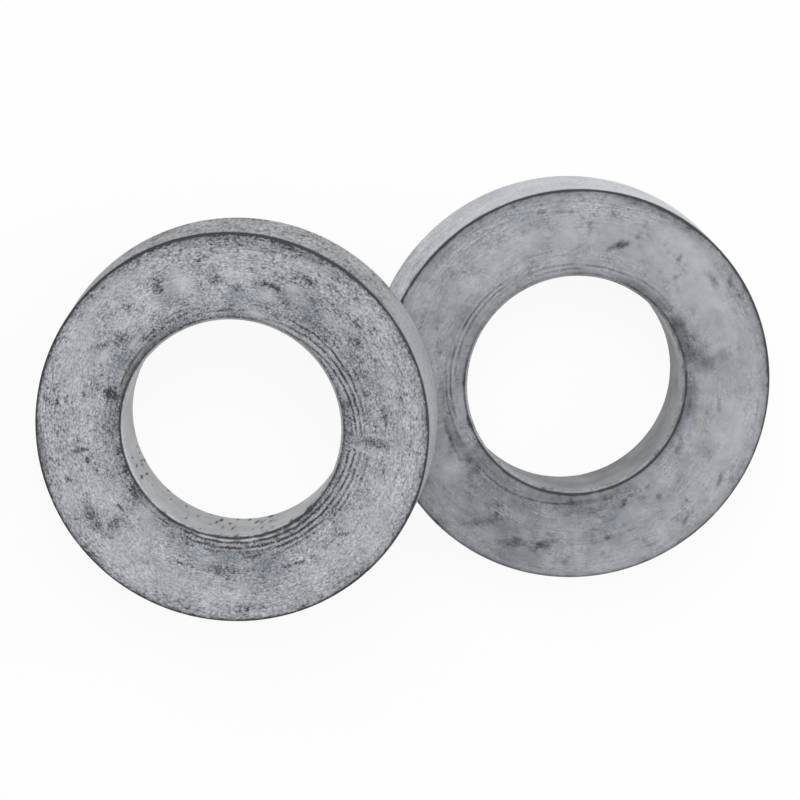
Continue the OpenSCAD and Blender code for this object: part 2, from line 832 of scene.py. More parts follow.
class Wear:
    """Relief, staining and painted light of a washer, one number for each vertex.

    Attributes:
        ring: The swept mesh.
        section: The washer's section.
        coat: How its coat has worn.
        depth: How far each vertex is cut inwards, in millimetres.
        stains: Strength of each stain, of the painted shade and of the painted highlights, by the
            name of its field. Dull film is laid in the soot field, which also holds painted shade.
    """

    def __init__(self, ring: RingMesh, section: Section, coat: Coat) -> None:
        """Works out every field.

        Args:
            ring: The swept mesh.
            section: The washer's section.
            coat: How its coat has worn.
        """
        self.ring = ring
        self.section = section
        self.coat = coat
        self.depth = np.full(len(ring.angle), SKIN)
        self.stains = {s.value: np.zeros(len(ring.angle)) for s in Stain if s is not Stain.DULL}
        self.stains[Stain.PITTED.value] += 1.0
        self._wear_face()
        self._wear_rim()
        self._wear_edge()
        self._wear_bore()
        self._wear_back()

    def _noise(self, here: np.ndarray, grain: Grain) -> np.ndarray:
        """Reads this washer's own pattern of a noise.

        Args:
            here: Numbers of the vertices to read it at.
            grain: The noise, with its seed counted from the coat's.

        Returns:
            One number for each vertex, from about -1 to 1.
        """
        own = replace(grain, seed=self.coat.seed + grain.seed)
        return own.at(self.ring.angle[here], self.ring.along[here])

    def _on(self, region: Region) -> np.ndarray:
        """Gives the numbers of the vertices of a region."""
        return np.flatnonzero(self.ring.worn == region.value)

    def _add(self, stain: Stain, where: np.ndarray, amount: np.ndarray) -> None:
        """Lays an amount of a stain, painted shade or painted highlight over what is there
        already.
        """
        field = self.stains[stain.value]
        field[where] = 1.0 - (1.0 - field[where]) * (1.0 - np.clip(amount, 0.0, 1.0))

    def _swell(self, here: np.ndarray, swell: np.ndarray) -> None:
        """Lets the coat swell slowly inwards and back."""
        self.depth[here] += SWELL_DEPTH * (1.0 + np.clip(swell, -1.0, 1.0))

    @staticmethod
    def _between(angle: np.ndarray, ends: Span, soft: float) -> np.ndarray:
        """Says how far angles lie between two others.

        Args:
            angle: Angles in degrees.
            ends: First and last angle, in degrees.
            soft: Half the width of the change at each end, in degrees.

        Returns:
            Numbers from 0 outside to 1 between the ends.
        """
        half = (ends[1] - ends[0]) / 2.0
        gap = np.abs(angle_gap(angle, ends[0] + half))
        return 1.0 - smoothstep(half - soft, half + soft, gap)

    def _wear_face(self) -> None:
        """Pits the upper face, cuts its tool lines, lays its marks and paints the shade and
        highlight round the bore.
        """
        coat = self.coat
        here = self._on(Region.FACE)
        cluster = self._noise(here, FACE_CLUSTERS)
        spots = self._noise(here, coat.pit_grain)
        density = self._lay_marks(here, coat.pit_share + PIT_GATHER * cluster, spots)
        pits = smoothstep(*FACE_PIT_LEVELS, spots + density)
        flecks = self._noise(here, FACE_FLECKS) + FLECK_GATHER * cluster
        self.depth[here] += coat.pit_depth * pits
        self._add(Stain.SOOT, here, coat.pit_soot * pits)
        self._add(Stain.SOOT, here, coat.flecks * smoothstep(*FLECK_LEVELS, flecks))
        self.stains[Stain.PITTED.value][here] = smoothstep(*SPECK_LEVELS, density)
        self._swell(here, self._noise(here, FACE_SWELL))
        waver = self._noise(here, LINE_DRIFT)
        self._cut_lines(here, waver)
        self._wear_mouth(here, waver, cluster)

    def _lay_marks(self, here: np.ndarray, density: np.ndarray, spots: np.ndarray) -> np.ndarray:
        """Lays the listed marks on the upper face.

        Args:
            here: Numbers of its vertices.
            density: How pitted each place is without the marks.
            spots: The noise that makes the pits.

        Returns:
            How pitted each place is with them.
        """
        angle, radius = self.ring.angle[here], self.ring.radius[here]
        ragged = self._noise(here, MARK_OUTLINES)
        speckle = np.clip(MARK_MEAN + MARK_SWING * spots, 0.0, MARK_MOST)
        for mark in self.coat.marks:
            amount = mark.cover(angle, radius, ragged)
            density = density + mark.stain.pitting * amount
            if mark.stain is Stain.SOOT:
                self._add(Stain.SOOT, here, amount * speckle)
            elif mark.stain is Stain.DULL:
                self._add(Stain.SOOT, here, amount)
            elif mark.stain is not Stain.PITTED:
                self._add(mark.stain, here, amount)
        return density

    def _cut_lines(self, here: np.ndarray, waver: np.ndarray) -> None:
        """Cuts the facing tool's lines, fills them with soot and painted shade and makes their
        ridges paler.

        Args:
            here: Numbers of the upper face's vertices.
            waver: Noise that moves a line in and out.
        """
        angle, radius = self.ring.angle[here], self.ring.radius[here]
        broken = smoothstep(*LINE_LEVELS, self._noise(here, LINE_GAPS))
        lines = sum(line.cut(angle, radius, waver) for line in self.coat.lines)
        lines = np.clip(lines, -RIDGE_MOST, 1.0) * broken
        cuts = np.maximum(lines, 0.0)
        self.depth[here] += self.coat.line_depth * cuts
        # Soot and painted shade in the tool lines, and paler ridges beside them
        self._add(Stain.SOOT, here, LINE_SOOT_AND_SHADE * cuts)
        self._add(Stain.PALE, here, -RIDGE_PALE * np.minimum(lines, 0.0))

    def _wear_mouth(self, here: np.ndarray, waver: np.ndarray, cluster: np.ndarray) -> None:
        """Paints a shade line round the bore, darkens the face round it and paints a highlight on
        the chamfer there.

        Args:
            here: Numbers of the upper face's vertices.
            waver: Noise that makes the bore's line uneven.
            cluster: Noise that makes the shade round it uneven.
        """
        coat = self.coat
        gap = self.ring.radius[here] - self.section.mouth
        # Painted shade: a dark line past the mouth where the bore's edge turns from the light,
        # weakest on one side
        past = gap - BORE_LINE_PLACE
        line = np.exp(-((past / np.where(past > 0.0, BORE_LINE_OUT, BORE_LINE_IN)) ** 2))
        faint = side(self.ring.angle[here], coat.bore_faint)
        uneven = BORE_LINE_MEAN + BORE_LINE_SWING * waver
        strength = coat.bore_soot * (1.0 - coat.bore_fade * faint) * uneven
        shade = coat.bore_shade * np.exp(-((gap / coat.bore_reach) ** 2))
        shade *= 1.0 + BORE_SHADE_SWING * cluster
        # Painted highlight on the chamfer inside the mouth
        lit_pale = (gap < -MOUTH_LIP) * smoothstep(*CHAMFER_LEVELS, waver)
        self._add(Stain.SOOT, here, strength * line)
        self._add(Stain.SOOT, here, shade)
        self._add(Stain.PALE, here, coat.mouth_rub * lit_pale)

    def _wear_rim(self) -> None:
        """Roughens the outer wall; its side toward the lamps has fewer pits and is painted paler,
        as painted light.
        """
        coat = self.coat
        here = self._on(Region.RIM)
        spots = smoothstep(*RIM_PIT_LEVELS, self._noise(here, RIM_PITS))
        swell = self._noise(here, RIM_SWELL)
        # The rim's side toward the lamps is painted paler, as painted light, and has fewer pits
        # and specks
        angle = self.ring.angle[here] + RUB_SWAY * swell
        lit_pale = self._between(angle, coat.rim_rubbed, RUB_SOFT)
        pits = coat.rim_pits * spots * (1.0 - RUB_OFF_PITS * lit_pale)
        self.depth[here] += PLAIN_PIT_DEPTH * pits
        self._swell(here, swell)
        self._add(Stain.SOOT, here, RIM_PIT_SOOT * pits)
        self._add(Stain.PALE, here, RIM_LIT_PALE * lit_pale)
        self.stains[Stain.PITTED.value][here] = 1.0 - RUB_OFF_SPECKS * lit_pale

    def _wear_edge(self) -> None:
        """Draws a dark line with a haze beside it along the upper outer edge."""
        coat = self.coat
        middle = self.section.edge_middle
        here = np.flatnonzero(np.abs(self.ring.along - middle) < EDGE_REACH)
        ragged = self._noise(here, EDGE_OUTLINE)
        uneven = self._noise(here, EDGE_SWELL)
        gap = self.ring.along[here] - middle - EDGE_SWAY * ragged
        gap /= coat.edge_width * (1.0 + EDGE_WIDTH_SWING * uneven)
        haze = HAZE * np.exp(-np.abs(gap) / np.where(gap > 0.0, HAZE_ON_FACE, HAZE_ON_RIM))
        line = np.maximum(np.exp(-(gap**2)), haze)
        faint = 1.0 - side(self.ring.angle[here], EDGE_DARK_SIDE)
        strength = coat.edge_soot * (1.0 - coat.edge_fade * faint)
        strength *= 1.0 + EDGE_DARK_SWING * ragged
        self._add(Stain.SOOT, here, strength * line)

    def _wear_bore(self) -> None:
        """Puts small pits in the bore's wall, paints shade on its lower part and a highlight on
        its top ring.
        """
        coat = self.coat
        here = self._on(Region.BORE)
        level = self.ring.level[here]
        spots = smoothstep(*BORE_PIT_LEVELS, self._noise(here, BORE_PITS))
        pits = self._between(self.ring.angle[here], coat.bore_pits, BORE_PIT_SOFT) * spots
        rise = smoothstep(*BORE_SHADE_FADE, level / self.section.height)
        top = level > self.section.height - self.section.chamfer - TOP_RING
        self.depth[here] += PLAIN_PIT_DEPTH * pits
        # Painted shade on the lower part of the bore's wall, fading towards its top
        self._add(Stain.SOOT, here, coat.bore_dim * (1.0 - rise))
        self._add(Stain.SOOT, here, BORE_PIT_SOOT * pits)
        # Painted highlight on the bore's top ring, below the chamfer
        self._add(Stain.PALE, here, BORE_TOP_HIGHLIGHT * coat.mouth_rub * top)

    def _wear_back(self) -> None:
        """Pits the lower face."""
        here = self._on(Region.BACK)
        cluster = self._noise(here, BACK_CLUSTERS)
        spots = self._noise(here, BACK_PITS) + BACK_GATHER * cluster
        pits = smoothstep(*BACK_PIT_LEVELS, spots)
        shade = BACK_SHADE * np.clip(cluster, 0.0, 1.0)
        self.depth[here] += PLAIN_PIT_DEPTH * pits
        self._add(Stain.SOOT, here, BACK_PIT_SOOT * pits + shade)


class Bench:
    """Lays out the nodes of one material or of the world.

    Attributes:
        tree: The node tree that it fills.
    """

    def __init__(self, owner: bpy.types.Material | bpy.types.World) -> None:
        """Empties a node tree.

        Args:
            owner: The material or the world that the tree belongs to.
        """
        owner.use_nodes = True
        self.tree = owner.node_tree
        self.tree.nodes.clear()

    def node(self, kind: str, **settings: object) -> bpy.types.Node:
        """Adds a node.

        Args:
            kind: Its type, as Blender names it.
            settings: Values for its properties.

        Returns:
            The node.
        """
        made = self.tree.nodes.new(kind)
        for key, value in settings.items():
            setattr(made, key, value)
        return made

    def feed(self, socket: bpy.types.NodeSocket, value: object) -> None:
        """Links a socket to an output, or sets its own value.

        Args:
            socket: The input socket.
            value: An output socket, a number or a colour.
        """
        if isinstance(value, bpy.types.NodeSocket):
            self.tree.links.new(value, socket)
        elif isinstance(value, tuple) and len(value) == 3 and socket.type == "RGBA":
            socket.default_value = (*value, 1.0)
        else:
            socket.default_value = value

    def stain(self, stain: Stain) -> bpy.types.NodeSocket:
        """Reads one of the washer's fields of stain, painted shade and painted highlight."""
        return self.node("ShaderNodeAttribute", attribute_name=stain.value).outputs["Fac"]

    def noise(self, sweep: float, width: float) -> bpy.types.NodeSocket:
        """Makes noise that follows the washer's turn.

        Args:
            sweep: Size of a feature along the turn, in millimetres.
            width: Size of a feature across the turn, in millimetres.

        Returns:
            The noise, about 0.5.
        """
        place = self.node("ShaderNodeAttribute", attribute_name="turned")
        scale = self.node("ShaderNodeVectorMath", operation="MULTIPLY")
        self.feed(scale.inputs[0], place.outputs["Vector"])
        reach = MIDDLE_RADIUS / sweep
        scale.inputs[1].default_value = (reach, reach, 1.0 / width)
        made = self.node("ShaderNodeTexNoise", noise_dimensions="3D")
        self.feed(made.inputs["Vector"], scale.outputs["Vector"])
        made.inputs["Scale"].default_value = 1.0
        made.inputs["Detail"].default_value = 1.0
        made.inputs["Roughness"].default_value = FINE_NOISE
        return made.outputs["Fac"]

    def maths(
        self, operation: str, first: object, second: object, clamp: bool = False
    ) -> bpy.types.NodeSocket:
        """Joins two values.

        Args:
            operation: What to do, as Blender names it.
            first: A socket or a number.
            second: A socket or a number.
            clamp: Keeps the result from 0 to 1.

        Returns:
            The result.
        """
        made = self.node("ShaderNodeMath", operation=operation, use_clamp=clamp)
        self.feed(made.inputs[0], first)
        self.feed(made.inputs[1], second)
        return made.outputs[0]

    def swing(self, noise: bpy.types.NodeSocket, size: float) -> bpy.types.NodeSocket:
        """Turns noise about 0.5 into a swing about 0 of the given size."""
        return self.maths("MULTIPLY", self.maths("SUBTRACT", noise, 0.5), size)

    def blend(self, share: object, first: object, second: object) -> bpy.types.NodeSocket:
        """Blends two colours.

        Args:
            share: How much of the second shows.
            first: A socket or a colour.
            second: A socket or a colour.

        Returns:
            The blended colour.
        """
        made = self.node("ShaderNodeMix", data_type="RGBA", clamp_factor=True)
        self.feed(made.inputs[0], share)
        self.feed(made.inputs[6], first)
        self.feed(made.inputs[7], second)
        return made.outputs[2]

    def background_rays(self) -> bpy.types.NodeSocket:
        """Tells the rays that show the background from those that light the washers.

        Returns:
            1 for what a camera sees directly, by gloss or through glass, and 0 for the rest.
        """
        path = self.node("ShaderNodeLightPath")
        seen = self.maths("MAXIMUM", path.outputs["Is Camera Ray"], path.outputs["Is Glossy Ray"])
        return self.maths("MAXIMUM", seen, path.outputs["Is Transmission Ray"])


@dataclass(frozen=True)
class ZincFinish:
    """A worn zinc coat.

    Attributes:
        name: Name of the material.
        light: Colour of the cleanest zinc.
        dark: Colour of the coat where soot and painted shade darken it.
        blue: Colour of the bluish smudges.
        brown: Colour of the brownish dirt.
        pale: Colour of the pale places and of the painted highlights.
        shade: How dark the coat is where nothing marks it, from 0 to 1.
        patches: Swing of the shade over several millimetres.
        mottle: Swing of the shade over about a millimetre.
        streaks: Swing of the shade in thin streaks along the turn.
        specks: Swing of the shade from speck to speck.
        speck_sweep: Length of a speck along the turn, in millimetres.
        speck_width: Width of a speck, in millimetres.
        relief: Height of the fine relief, in millimetres.
        roughness: Roughness of the clean coat.
        metal: How metallic the coat is.
    """

    name: str
    light: Colour = (0.56, 0.577, 0.608)
    dark: Colour = (0.045, 0.047, 0.052)
    blue: Colour = (0.2, 0.235, 0.3)
    brown: Colour = (0.1, 0.099, 0.096)
    pale: Colour = (0.57, 0.585, 0.603)
    shade: float = 0.4
    patches: float = 0.45
    mottle: float = 0.36
    streaks: float = 0.8
    specks: float = 2.35
    speck_sweep: float = 0.27
    speck_width: float = 0.17
    relief: float = 0.012
    roughness: float = 0.5
    metal: float = 0.5

    def make(self) -> bpy.types.Material:
        """Makes the material.

        Returns:
            The material.
        """
        material = bpy.data.materials.new(self.name)
        bench = Bench(material)
        # Soot, together with the shade painted round the bore, in the bore and in the tool lines
        soot = bench.stain(Stain.SOOT)
        speck = bench.noise(self.speck_sweep, self.speck_width)
        shade = self._shade(bench, soot, speck)
        colour = bench.blend(shade, self.light, self.dark)
        colour = bench.blend(bench.stain(Stain.BLUE), colour, self.blue)
        colour = bench.blend(bench.stain(Stain.BROWN), colour, self.brown)
        colour = bench.blend(bench.stain(Stain.PALE), colour, self.pale)
        rough = bench.maths("ADD", bench.maths("MULTIPLY", shade, SHADE_ROUGHNESS), self.roughness)
        rough = bench.maths("ADD", rough, bench.swing(speck, SPECK_ROUGHNESS), clamp=True)
        height = bench.maths("SUBTRACT", speck, bench.maths("MULTIPLY", soot, SOOT_AND_SHADE_FILL))
        bump = bench.node("ShaderNodeBump")
        bump.inputs["Strength"].default_value = RELIEF_STRENGTH
        bump.inputs["Distance"].default_value = self.relief * MM
        bench.feed(bump.inputs["Height"], height)
        shader = bench.node("ShaderNodeBsdfPrincipled")
        shader.inputs["Metallic"].default_value = self.metal
        bench.feed(shader.inputs["Base Color"], colour)
        bench.feed(shader.inputs["Roughness"], rough)
        bench.feed(shader.inputs["Normal"], bump.outputs["Normal"])
        output = bench.node("ShaderNodeOutputMaterial")
        bench.feed(output.inputs["Surface"], shader.outputs["BSDF"])
        return material

    def _shade(
        self, bench: Bench, soot: bpy.types.NodeSocket, speck: bpy.types.NodeSocket
    ) -> bpy.types.NodeSocket:
        """Adds up how dark the coat is.

        Args:
            bench: Where the nodes are laid out.
            soot: The washer's soot together with its painted shade.
            speck: The finest noise.

        Returns:
            0 where the light colour shows, to 1 where the dark one does.
        """
        streak = bench.swing(bench.noise(*STREAK_SIZE), self.streaks)
        grain = bench.maths("ADD", bench.swing(speck, self.specks), streak)
        grain = bench.maths("MULTIPLY", grain, bench.stain(Stain.PITTED))
        shade = bench.maths("ADD", soot, self.shade)
        shade = bench.maths("ADD", shade, bench.swing(bench.noise(*PATCH_SIZE), self.patches))
        shade = bench.maths("ADD", shade, bench.swing(bench.noise(*MOTTLE_SIZE), self.mottle))
        return bench.maths("ADD", shade, grain, clamp=True)


@dataclass(frozen=True)
class FloorFinish:
    """A matt white floor that keeps a shadow and still looks nearly plain white.

    Attributes:
        name: Name of the material.
        paint: Colour of the floor.
        white: Share of plain white that shows where the floor is seen.
    """

    name: str = "white_floor"
    paint: Colour = (0.9, 0.9, 0.9)
    white: float = 0.92

    def make(self) -> bpy.types.Material:
        """Makes the material.

        Returns:
            The material.
        """
        material = bpy.data.materials.new(self.name)
        bench = Bench(material)
        paint = bench.node("ShaderNodeBsdfDiffuse")
        bench.feed(paint.inputs["Color"], self.paint)
        white = bench.node("ShaderNodeEmission")
        mixed = bench.node("ShaderNodeMixShader")
        bench.feed(mixed.inputs[0], bench.maths("MULTIPLY", bench.background_rays(), self.white))
        bench.feed(mixed.inputs[1], paint.outputs[0])
        bench.feed(mixed.inputs[2], white.outputs[0])
        output = bench.node("ShaderNodeOutputMaterial")
        bench.feed(output.inputs["Surface"], mixed.outputs[0])
        return material


@dataclass
class Washer:
    """One washer: its place, its section, its worn coat and its finishes.

    Attributes:
        name: Name of the piece.
        node: The CAD node that it stands for.
        slot: The record's material slot; not used.
        base: Middle of its lower face in the part's frame, in millimetres.
        axis: Direction of its axis.
        section: Its half section.
        coat: How its coat has worn.
        finishes: The finish of each region.
    """

    name: str
    node: str
    slot: str
    base: Vector
    axis: Vector
    section: Section
    coat: Coat
    finishes: dict[Region, ZincFinish]

    def build(self) -> bpy.types.Object:
        """Builds, dresses and places the washer.

        Returns:
            The new object.
        """
        ring = RingMesh(self.section)
        wear = Wear(ring, self.section, self.coat)
        radius = ring.radius - ring.outward[:, 0] * wear.depth
        level = ring.level - ring.outward[:, 1] * wear.depth
        turn = np.radians(ring.angle)
        local = np.stack([radius * np.cos(turn), radius * np.sin(turn), level], axis=1)
        mesh = bpy.data.meshes.new(self.name)
        mesh.from_pydata((local @ self._turned() + np.array(self.base)) * MM, [], ring.faces)
        self._write_fields(mesh, ring, wear)
        piece = bpy.data.objects.new(self.name, mesh)
        bpy.context.scene.collection.objects.link(piece)
        for region in Region:
            mesh.materials.append(self.finishes[region].make())
        mesh.polygons.foreach_set("material_index", ring.region.astype(np.int32))
        mesh.shade_smooth()
        mesh.update()
        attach(piece, "root")
        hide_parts(self.node)
        return piece

    def _turned(self) -> np.ndarray:
        """Gives the washer's own axes in the part's frame.

        Returns:
            One axis in each row.
        """
        across = np.array([0.0, 1.0, 0.0])
        axis = np.array(self.axis)
        return np.stack([np.cross(across, axis), across, axis])

    def _write_fields(self, mesh: bpy.types.Mesh, ring: RingMesh, wear: Wear) -> None:
        """Writes the flat map, the turned coordinates and the fields of stain and painted light to
        the mesh.

        Args:
            mesh: The washer's mesh.
            ring: The swept ring.
            wear: Its relief, staining and painted light.
        """
        turn = np.radians(ring.angle)
        turned = np.stack([np.cos(turn), np.sin(turn), ring.along], axis=1)
        place = mesh.attributes.new("turned", "FLOAT_VECTOR", "POINT")
        place.data.foreach_set("vector", turned.astype(np.float32).ravel())
        for name, amount in wear.stains.items():
            held = mesh.attributes.new(name, "FLOAT", "POINT")
            held.data.foreach_set("value", amount.astype(np.float32))
        sheet = mesh.uv_layers.new(name="OFBake")
        sheet.uv.foreach_set("vector", ring.sheet.astype(np.float32).ravel())


@dataclass
class Studio:
    """Plain floor, soft light and the camera at the photo's angle.

    Attributes:
        floor_radius: Radius of the floor, in metres.
        floor_sides: Number of sides of the floor's outline.
        floor_drop: How far the floor lies below the table plane, in metres.
        floor_finish: Its finish.
        sky: Strength of the even light from all sides.
        key_power: Power of the main soft lamp, in watts.
        key_place: Where the main soft lamp hangs, in metres.
        fill_power: Power of the soft lamp at the right, in watts.
        fill_place: Where the soft lamp at the right hangs, in metres.
        lamp_size: Side of a soft lamp, in metres.
        eye: Where the camera stands, in metres.
        target: What the camera looks at, in metres.
        up_angle: Direction on the table that points up in the picture, in degrees.
        lens: Focal length of the camera, in millimetres.
    """

    floor_radius: float = 0.9
    floor_sides: int = 96
    floor_drop: float = 0.00002
    floor_finish: FloorFinish = FloorFinish()
    sky: float = 0.5
    key_power: float = 5.0
    key_place: Vector = Vector((-0.15, 0.6, 0.85))
    fill_power: float = 3.0
    fill_place: Vector = Vector((0.8, 0.1, 0.5))
    lamp_size: float = 0.6
    eye: Vector = Vector((-0.19387, 0.2816, 1.46439))
    target: Vector = Vector((0.00013, -0.00059, 0.004))
    up_angle: float = 85.64
    lens: float = 714.1

    def build(self) -> None:
        """Builds the floor, the lights and the camera."""
        self._floor()
        self._world()
        self._lamp("key_lamp", self.key_power, self.key_place)
        self._lamp("fill_lamp", self.fill_power, self.fill_place)
        self._camera()

    def _floor(self) -> None:
        """Lays a round white floor that keeps the washers' shadow."""
        turn = np.arange(self.floor_sides) * 2.0 * math.pi / self.floor_sides
        rim = np.stack([np.cos(turn), np.sin(turn)], axis=1) * self.floor_radius
        mesh = bpy.data.meshes.new("floor")
        mesh.from_pydata([(x, y, -self.floor_drop) for x, y in rim], [], [range(self.floor_sides)])
        mesh.materials.append(self.floor_finish.make())
        floor = bpy.data.objects.new("floor", mesh)
        bpy.context.scene.collection.objects.link(floor)

    def _world(self) -> None:
        """Makes the even light, which looks white where it is seen."""
        world = bpy.data.worlds.new("studio")
        bpy.context.scene.world = world
        bench = Bench(world)
        strength = bench.node("ShaderNodeMapRange")
        bench.feed(strength.inputs["Value"], bench.background_rays())
        strength.inputs["To Min"].default_value = self.sky
        strength.inputs["To Max"].default_value = 1.0
        background = bench.node("ShaderNodeBackground")
        bench.feed(background.inputs["Color"], (1.0, 1.0, 1.0))
        bench.feed(background.inputs["Strength"], strength.outputs["Result"])
        output = bench.node("ShaderNodeOutputWorld")
        bench.feed(output.inputs["Surface"], background.outputs[0])

    def _lamp(self, name: str, power: float, place: Vector) -> None:
        """Hangs a soft square lamp that faces the washers.

        Args:
            name: The lamp's name.
            power: Its power, in watts.
            place: Where it hangs, in metres.
        """
        light = bpy.data.lights.new(name, "AREA")
        light.energy = power
        light.size = self.lamp_size
        lamp = bpy.data.objects.new(name, light)
        lamp.location = place
        lamp.rotation_euler = place.to_track_quat("Z", "Y").to_euler()
        bpy.context.scene.collection.objects.link(lamp)

    def _camera(self) -> None:
        """Sets up the camera."""
        back = (self.eye - self.target).normalized()
        up_angle = math.radians(self.up_angle)
        hint = Vector((math.cos(up_angle), math.sin(up_angle), 0.0))
        up = (hint - hint.dot(back) * back).normalized()
        right = up.cross(back)
        turn = Matrix((right, up, back)).transposed()
        lens = bpy.data.cameras.new("camera")
        lens.lens = self.lens
        lens.clip_start = 0.05
        lens.clip_end = 10.0
        camera = bpy.data.objects.new("camera", lens)
        camera.matrix_world = Matrix.Translation(self.eye) @ turn.to_4x4()
        bpy.context.scene.collection.objects.link(camera)
        bpy.context.scene.camera = camera
        bpy.context.scene.view_settings.view_transform = "Standard"


PITTED_LINES = (
    ToolLine(238.0, 348.0, 10.95, 11.25, 0.85),
    ToolLine(243.0, 348.0, 11.48, 11.78, 0.9),
    ToolLine(279.0, 347.0, 12.08, 12.3, 0.7),
    ToolLine(286.0, 347.0, 12.52, 12.78, 0.5),
    ToolLine(322.0, 346.0, 13.05, 13.1, 0.35),
    ToolLine(353.0, 418.0, 11.78, 10.5, 0.9),
    ToolLine(353.0, 432.0, 12.2, 10.85, 0.9),
    ToolLine(359.0, 419.0, 12.55, 11.7, 0.7),
    ToolLine(368.0, 398.0, 13.0, 12.6, 0.45),
    ToolLine(77.0, 101.0, 11.3, 11.2, 0.5),
    ToolLine(99.0, 124.0, 11.8, 11.45, 0.55),
    ToolLine(108.0, 137.0, 12.1, 12.0, 0.35),
    ToolLine(119.0, 141.0, 12.6, 12.5, 0.3),
    ToolLine(120.0, 158.0, 11.3, 11.15, 0.6),
    ToolLine(160.0, 180.0, 12.05, 12.0, 0.3),
    ToolLine(164.0, 182.0, 11.6, 11.65, 0.3),
    ToolLine(214.0, 240.0, 11.3, 11.05, 0.6),
)

